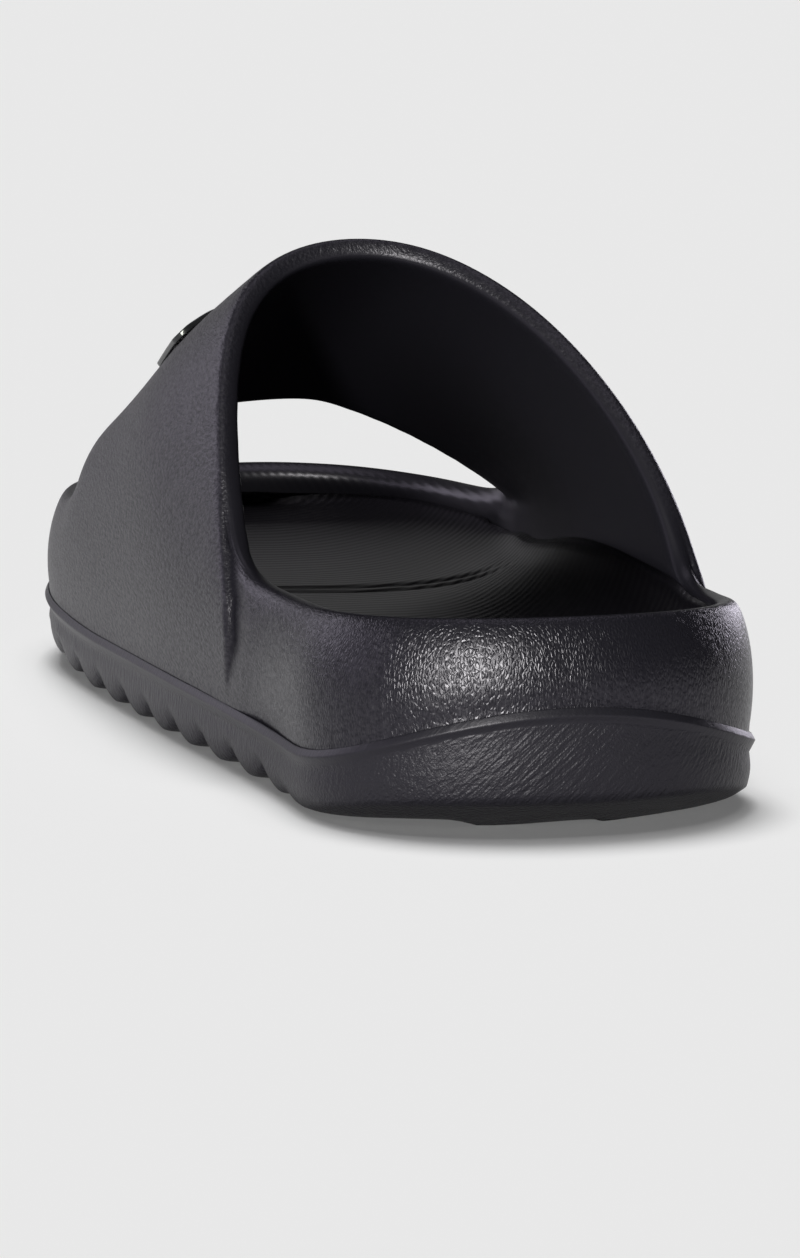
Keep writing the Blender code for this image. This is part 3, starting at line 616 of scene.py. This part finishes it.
def sweep_up_border(points, normals):
    """Let the footbed run up to the wall in a soft hollow and close the seam beside it."""
    wall = BVHTree.FromPolygons([tuple(point) for point in upper_points],
                                [tuple(face.vertices) for face in upper_mesh.polygons])
    facing = soft_step(*BORDER_FACING, normals[:, 2])
    moved = points.copy()
    for k, point in enumerate(points):
        nearest, _, _, gap = wall.find_nearest(Vector(point), BORDER_REACH)
        if nearest is None:
            continue
        pull = max(gap - BORDER_SEAM, 0.0) / gap * (1 - soft_step(*BORDER_PULL, gap))
        moved[k] += facing[k] * pull * (np.array(nearest) - point)
        rise = BORDER_RISE * (1 - soft_step(*BORDER_TOE, point[1]))
        moved[k, 2] += facing[k] * rise * (1 - gap / BORDER_REACH) ** 2
    return moved


def shaded_smooth_hollow(points):
    """1 at the middle of the smooth hollow behind the arch, where shade is painted, falling
    softly to 0 round it.
    """
    across = (points[:, 0] - HOLLOW_MIDDLE[0]) / HOLLOW_HALF[0]
    along = (points[:, 1] - HOLLOW_MIDDLE[1]) / HOLLOW_HALF[1]
    return np.exp(-across ** 2 - along ** 2)


def crease_footbed(points, normals):
    """Two shallow bent grooves across the footbed."""
    moved = points.copy()
    for start, bend in CREASES:
        line = start + bend * (points[:, 0] - CREASE_AXIS) ** 2
        depth = CREASE_DEPTH * np.exp(-((points[:, 1] - line) / CREASE_WIDTH) ** 2)
        fade = soft_step(*CREASE_FACING, normals[:, 2])
        fade *= 1 - soft_step(*CREASE_END, points[:, 0])
        moved -= normals * (depth * fade)[:, None]
    return moved


def insole_material():
    """Compression moulded EVA foam: satin black, with fine ripples that catch the light, and
    painted shade in a smooth patch behind the arch, which makes the hollow there look deeper than
    it is."""
    material = empty_material("moulded_eva_insole")
    tree = material.node_tree
    place = add_node(tree, "ShaderNodeTexCoord")
    axes = add_node(tree, "ShaderNodeSeparateXYZ", links={0: place.outputs["Object"]})
    beside = add_node(tree, "ShaderNodeMath", {"operation": "SUBTRACT", 1: RIPPLE_BEND_START},
                      {0: axes.outputs["X"]})
    inward = add_node(tree, "ShaderNodeMath", {"operation": "MAXIMUM", 1: 0.0},
                      {0: beside.outputs[0]})
    square = add_node(tree, "ShaderNodeMath", {"operation": "POWER", 1: 2.0},
                      {0: inward.outputs[0]})
    bend = add_node(tree, "ShaderNodeMath", {"operation": "MULTIPLY", 1: RIPPLE_BEND},
                    {0: square.outputs[0]})
    along = add_node(tree, "ShaderNodeMath", {"operation": "SUBTRACT"},
                     {0: axes.outputs["Y"], 1: bend.outputs[0]})
    sway = add_node(tree, "ShaderNodeTexNoise", {"Scale": RIPPLE_DRIFTS_PER_METRE, "Detail": 1.0},
                    {"Vector": place.outputs["Object"]})
    drift = add_node(tree, "ShaderNodeMath", {"operation": "MULTIPLY", 1: RIPPLE_DRIFT},
                     {0: sway.outputs[0]})
    line = add_node(tree, "ShaderNodeMath", {"operation": "ADD"},
                    {0: along.outputs[0], 1: drift.outputs[0]})
    phase = add_node(tree, "ShaderNodeMath",
                     {"operation": "MULTIPLY", 1: 2 * math.pi * 1000 / RIPPLE_PITCH_MM},
                     {0: line.outputs[0]})
    ripple = add_node(tree, "ShaderNodeMath", {"operation": "SINE"}, {0: phase.outputs[0]})
    hollow = add_node(tree, "ShaderNodeAttribute", {"attribute_name": "shaded_smooth_hollow"})
    worn = add_node(tree, "ShaderNodeMapRange", {"To Min": 1.0, "To Max": HOLLOW_RIPPLE},
                    {"Value": hollow.outputs["Fac"]})
    relief = add_node(tree, "ShaderNodeMath", {"operation": "MULTIPLY"},
                      {0: ripple.outputs[0], 1: worn.outputs[0]})
    bump = add_node(tree, "ShaderNodeBump", {"Strength": 0.4, "Distance": RIPPLE_RELIEF},
                    {"Height": relief.outputs[0]})
    # painted shade in the hollow behind the arch
    shine = add_node(tree, "ShaderNodeMapRange",
                     {"To Min": FOOTBED_SHINE, "To Max": HOLLOW_SHINE},
                     {"Value": hollow.outputs["Fac"]})
    shader = add_node(tree, "ShaderNodeBsdfPrincipled",
                      {"Base Color": linear("#100F12"), "IOR": FOAM_IOR,
                       "Roughness": FOAM_ROUGHNESS, "Specular Tint": linear(FOAM_TINT)},
                      {"Normal": bump.outputs[0], "Specular IOR Level": shine.outputs[0]})
    add_node(tree, "ShaderNodeOutputMaterial", links={"Surface": shader.outputs[0]})
    return material


insole_mesh = smooth_copy("insole", "insole_foam", INSOLE_LEVELS, True)
set_points(insole_mesh, crease_footbed(mesh_points(insole_mesh), mesh_normals(insole_mesh)))
set_points(insole_mesh, sweep_up_border(mesh_points(insole_mesh), mesh_normals(insole_mesh)))
set_attribute(insole_mesh, "shaded_smooth_hollow", shaded_smooth_hollow(mesh_points(insole_mesh)))
place_piece(insole_mesh, "insole_foam", insole_material(), "insole")


# Badge: a small rounded plate of glossy black ABS, injection moulded and glued flat on the
# outer side of the strap.  It is left plain.
BADGE_LEVELS = 2
PEEL_WIDTH_MM = 1.2
PEEL_RELIEF = 0.00003
GLOSS_ROUGHNESS = (0.16, 0.30)
ABS_IOR = 1.5


def badge_material():
    """Injection moulded ABS: glossy, with the faint orange peel that breaks up its shine."""
    material = empty_material("moulded_abs_badge")
    tree = material.node_tree
    place = add_node(tree, "ShaderNodeTexCoord")
    peel = add_node(tree, "ShaderNodeTexNoise", {"Scale": 1000 / PEEL_WIDTH_MM, "Detail": 1.0},
                    {"Vector": place.outputs["Object"]})
    gloss = add_node(tree, "ShaderNodeMapRange",
                     {"To Min": GLOSS_ROUGHNESS[0], "To Max": GLOSS_ROUGHNESS[1]},
                     {"Value": peel.outputs[0]})
    bump = add_node(tree, "ShaderNodeBump", {"Strength": 0.3, "Distance": PEEL_RELIEF},
                    {"Height": peel.outputs[0]})
    shader = add_node(tree, "ShaderNodeBsdfPrincipled",
                      {"Base Color": linear("#141416"), "IOR": ABS_IOR},
                      {"Roughness": gloss.outputs[0], "Normal": bump.outputs[0]})
    add_node(tree, "ShaderNodeOutputMaterial", links={"Surface": shader.outputs[0]})
    return material


badge_mesh = smooth_copy("badge", "badge_plate", BADGE_LEVELS, True)
place_piece(badge_mesh, "badge_plate", badge_material(), "badge")
